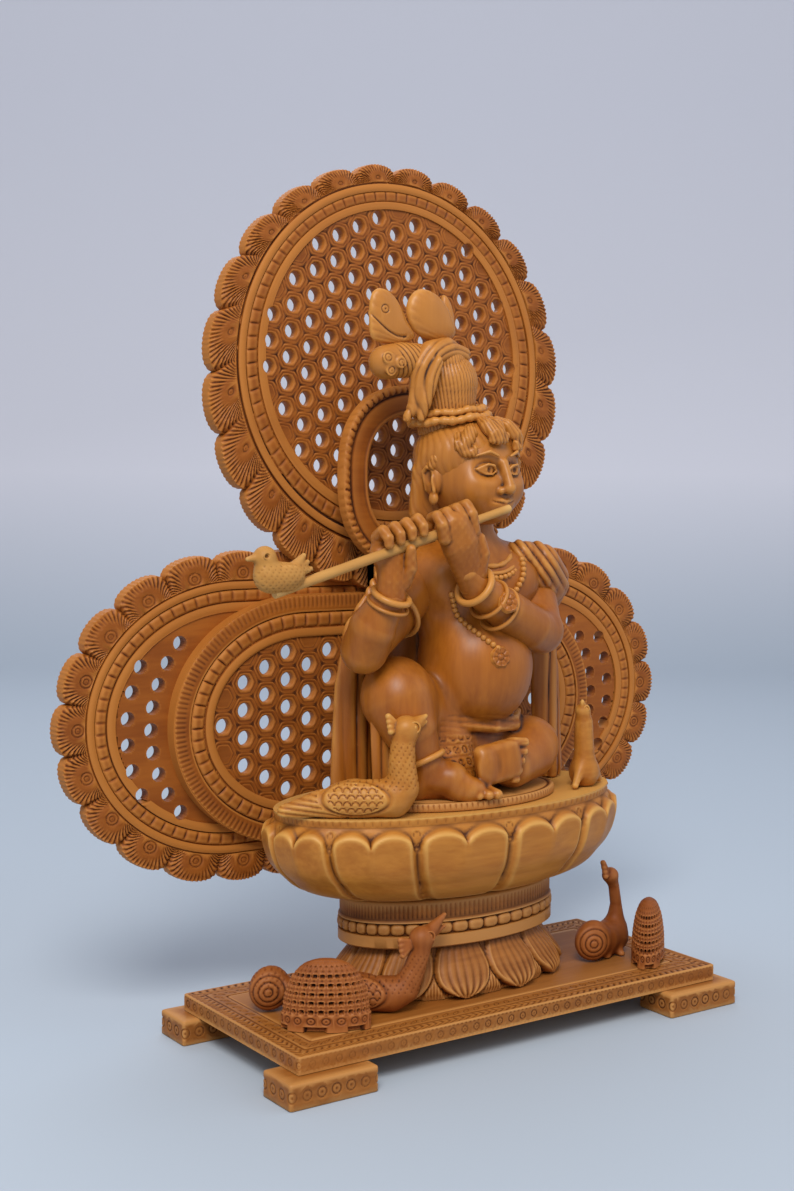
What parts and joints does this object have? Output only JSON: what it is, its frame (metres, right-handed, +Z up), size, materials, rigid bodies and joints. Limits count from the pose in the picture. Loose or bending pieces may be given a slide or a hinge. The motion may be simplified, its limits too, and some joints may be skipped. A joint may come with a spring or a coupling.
{
  "type": "carved seated flute player figure on a lotus stand",
  "caption": "Carved wooden seated flute player on an oval lotus bowl and footed plank, with pierced scalloped screens, an arch, small birds and openwork domes.",
  "frame": {"origin": "middle of the whole object's footprint, on the surface it stands on", "axes": "+X to the right seen from the front, +Y to the back towards the screens, +Z up"},
  "size_m": [0.3306, 0.1182, 0.3776],
  "materials": {
    "honey_wood": "carved light wood, oiled to a low sheen, orange-brown",
    "body_wood": "smooth rubbed light wood with a soft satin sheen, darker in the cuts",
    "cream_wood": "paler cream-tan wood, smooth, a little darker at the edges",
    "screen_wood": "pierced board, orange-brown, matt, dark in the cuts",
    "russet_wood": "reddish-brown wood, matt, deeply cut",
    "pale_wood": "plain pale beige wood, uncoated"
  },
  "bodies": {
    "root": {"plank": "honey_wood", "foot_front_left": "honey_wood", "foot_back_left": "honey_wood", "foot_front_right": "honey_wood", "foot_back_right": "honey_wood", "pedestal": "honey_wood", "lotus_bowl": "cream_wood", "lower_screen": "screen_wood", "upper_disc": "screen_wood", "halo_arch": "screen_wood", "figure": "body_wood", "flute": "pale_wood", "bowl_bird_left": "cream_wood", "bowl_bird_right": "cream_wood", "plank_bird_left": "russet_wood", "plank_bird_right": "russet_wood", "dome_left": "russet_wood", "dome_right": "russet_wood"}
  },
  "joints": []
}
